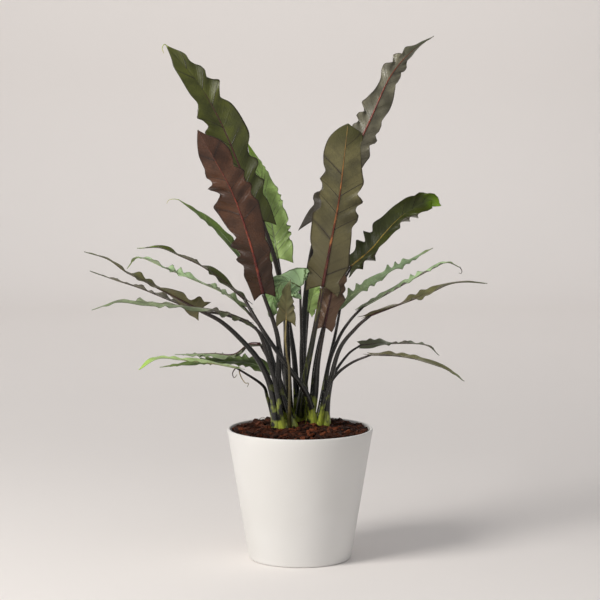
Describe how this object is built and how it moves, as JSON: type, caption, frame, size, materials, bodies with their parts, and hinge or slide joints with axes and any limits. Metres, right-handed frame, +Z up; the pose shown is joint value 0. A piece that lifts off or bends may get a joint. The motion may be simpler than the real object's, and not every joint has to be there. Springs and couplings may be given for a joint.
{
  "type": "potted alocasia",
  "caption": "Foliage plant with long, wavy, arrow-shaped leaves on dark stalks, rooted in bark mix in a plain tapered white pot.",
  "frame": {"origin": "centre of the pot's flat foot, on the surface that it stands on", "axes": "+Z up, out of the pot; -Y is the front, and +X is to the right seen from the front"},
  "size_m": [0.5156, 0.3066, 0.6937],
  "materials": {
    "pot": "smooth satin white, moulded in one piece",
    "potting_mix": "coarse, damp red-brown bark and coir chips",
    "crown": "fresh yellow-green sheaths at the foot of the stalks",
    "stalk_dark": "smooth purple-black, satin, yellow-green at the foot",
    "stalk_mottled": "dark olive with paler green flecks",
    "stalk_tan": "smooth tan",
    "blade_olive": "olive-green leaf with a maroon midrib, slight sheen",
    "blade_purple": "purple-brown underside with a red midrib, slight sheen",
    "blade_underside": "matt brownish-olive underside with dark side veins",
    "blade_dark_green": "dark green leaf, slight sheen",
    "blade_bright_green": "fresh green leaf, slight sheen",
    "blade_pale_green": "young pale-green leaf, glossy"
  },
  "bodies": {
    "root": {"blade_arched_left": "blade_bright_green", "blade_big_right": "blade_underside", "blade_curled_right": "blade_dark_green", "blade_dark_left": "blade_dark_green", "blade_fan_left": "blade_bright_green", "blade_folded_centre": "blade_purple", "blade_front_small": "blade_olive", "blade_green_left": "blade_bright_green", "blade_light_centre": "blade_pale_green", "blade_light_left": "blade_pale_green", "blade_light_right": "blade_pale_green", "blade_long_left": "blade_dark_green", "blade_long_right": "blade_dark_green", "blade_low_back_left": "blade_dark_green", "blade_low_left": "blade_pale_green", "blade_low_right": "blade_dark_green", "blade_low_right_front": "blade_dark_green", "blade_mid_right": "blade_dark_green", "blade_narrow_left": "blade_bright_green", "blade_pale_centre": "blade_pale_green", "blade_purple_left": "blade_purple", "blade_tall_left": "blade_olive", "blade_tall_right": "blade_underside", "blade_thin_left": "blade_dark_green", "crown_back": "crown", "crown_left": "crown", "crown_right": "crown", "pot": "pot", "potting_mix": "potting_mix", "stalk_arched_left": "stalk_dark", "stalk_big_right": "stalk_mottled", "stalk_curled_right": "stalk_dark", "stalk_dark_left": "stalk_dark", "stalk_fan_left": "stalk_dark", "stalk_folded_centre": "stalk_dark", "stalk_front_small": "stalk_tan", "stalk_green_left": "stalk_dark", "stalk_light_centre": "stalk_dark", "stalk_light_left": "stalk_dark", "stalk_light_right": "stalk_dark", "stalk_long_left": "stalk_dark", "stalk_long_right": "stalk_dark", "stalk_low_back_left": "stalk_dark", "stalk_low_left": "stalk_dark", "stalk_low_right": "stalk_dark", "stalk_low_right_front": "stalk_dark", "stalk_mid_right": "stalk_dark", "stalk_narrow_left": "stalk_dark", "stalk_pale_centre": "stalk_dark", "stalk_purple_left": "stalk_dark", "stalk_tall_left": "stalk_dark", "stalk_tall_right": "stalk_dark", "stalk_thin_left": "stalk_dark"}
  },
  "joints": []
}
